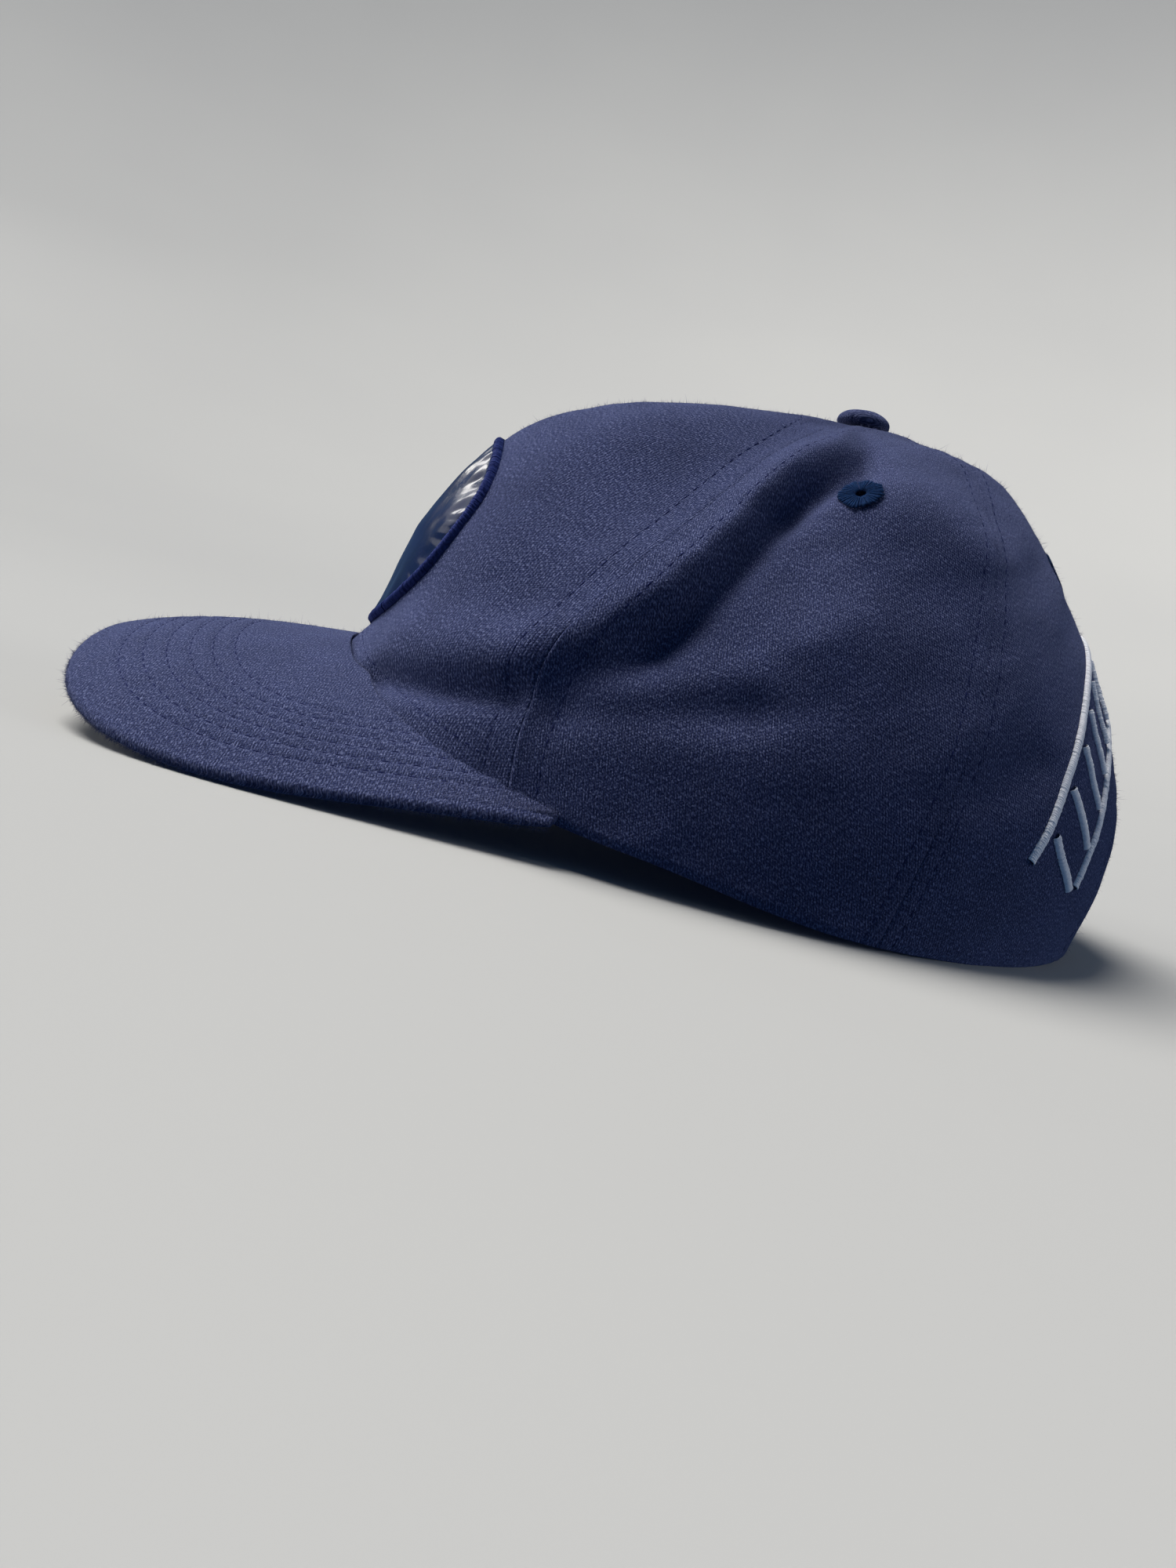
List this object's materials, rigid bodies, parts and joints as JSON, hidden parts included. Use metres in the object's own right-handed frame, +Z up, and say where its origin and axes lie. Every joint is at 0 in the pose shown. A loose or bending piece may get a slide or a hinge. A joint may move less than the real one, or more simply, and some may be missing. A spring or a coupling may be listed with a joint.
{
  "type": "five-panel cap",
  "caption": "Soft cloth cap with a wide front panel, a stiff stitched peak, a covered top button, sewn eyelets and an arched back opening closed by a strap.",
  "frame": {"origin": "centre of the bounding box in plan, on the surface that the rim stands on", "axes": "+Z up, the peak points to -Y, the wearer's left is +X"},
  "size_m": [0.1724, 0.258, 0.1194],
  "materials": {
    "cap_cloth": "matt navy wool-blend twill with a light fuzz",
    "stitch_thread": "satin embroidery thread, dark blue",
    "badge_film": "glossy dark blue film"
  },
  "bodies": {
    "root": {"front_panel": "cap_cloth", "side_panel_left": "cap_cloth", "side_panel_right": "cap_cloth", "back_panel_left": "cap_cloth", "back_panel_right": "cap_cloth", "peak": "cap_cloth", "top_button": "cap_cloth", "back_strap": "cap_cloth", "eyelet_side_left": "stitch_thread", "eyelet_side_right": "stitch_thread", "eyelet_back_left": "stitch_thread", "eyelet_back_right": "stitch_thread", "front_patch": "badge_film"}
  },
  "joints": []
}
